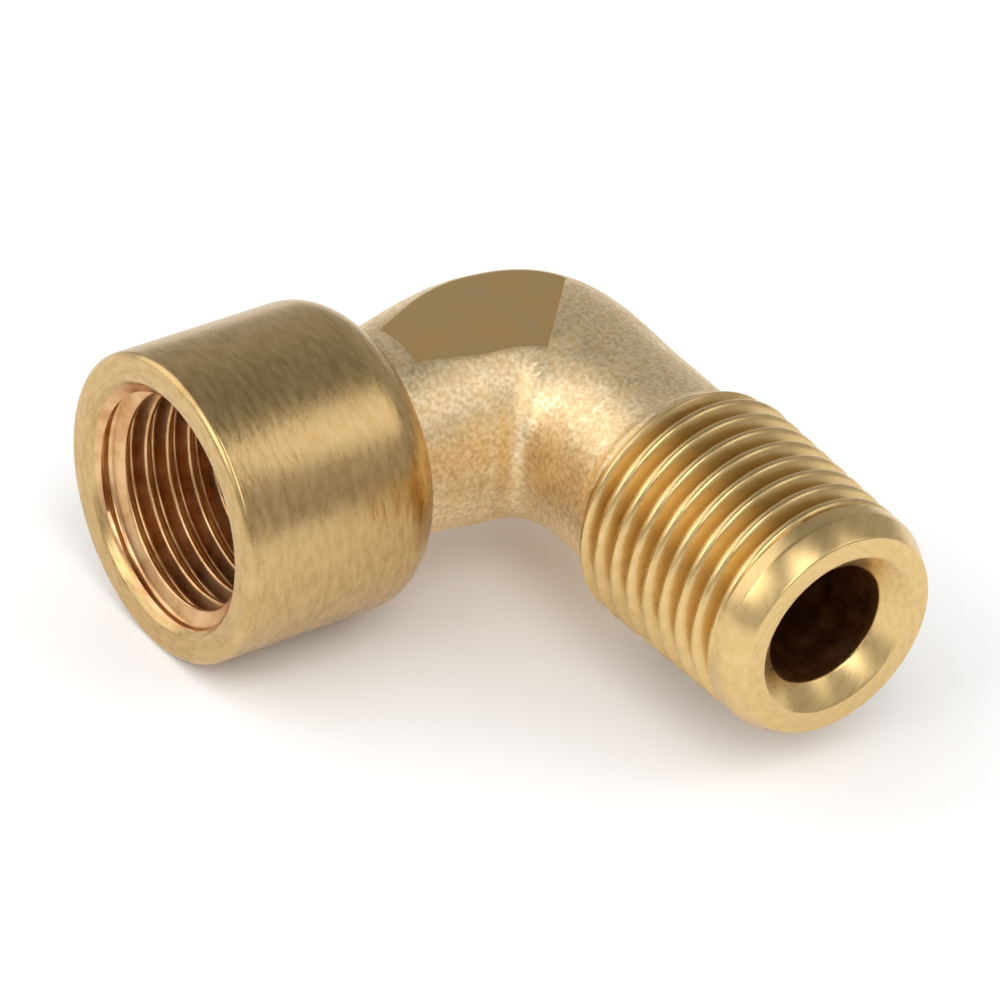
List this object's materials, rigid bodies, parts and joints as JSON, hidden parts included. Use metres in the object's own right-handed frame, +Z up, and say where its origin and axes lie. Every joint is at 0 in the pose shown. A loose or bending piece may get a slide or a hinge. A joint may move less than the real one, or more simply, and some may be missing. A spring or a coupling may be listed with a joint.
{
  "type": "street elbow pipe fitting",
  "caption": "One-piece forged brass pipe elbow turning a right angle between an external taper thread and an internal threaded socket.",
  "frame": {"origin": "Middle of the underside of the part's box, with both port axes level, 8.36 mm above it.", "axes": "-X points out of the internally threaded socket along its axis, -Y points out of the externally threaded spigot along its axis, +Z is up, square to the plane of the two port axes, out of the upper forged flat."},
  "size_m": [0.031, 0.034, 0.0167],
  "materials": {
    "brass": "bare brass: turned satin on the machined ends, shot-blasted forging skin between them"
  },
  "bodies": {
    "root": {"elbow_body": "brass"}
  },
  "joints": []
}
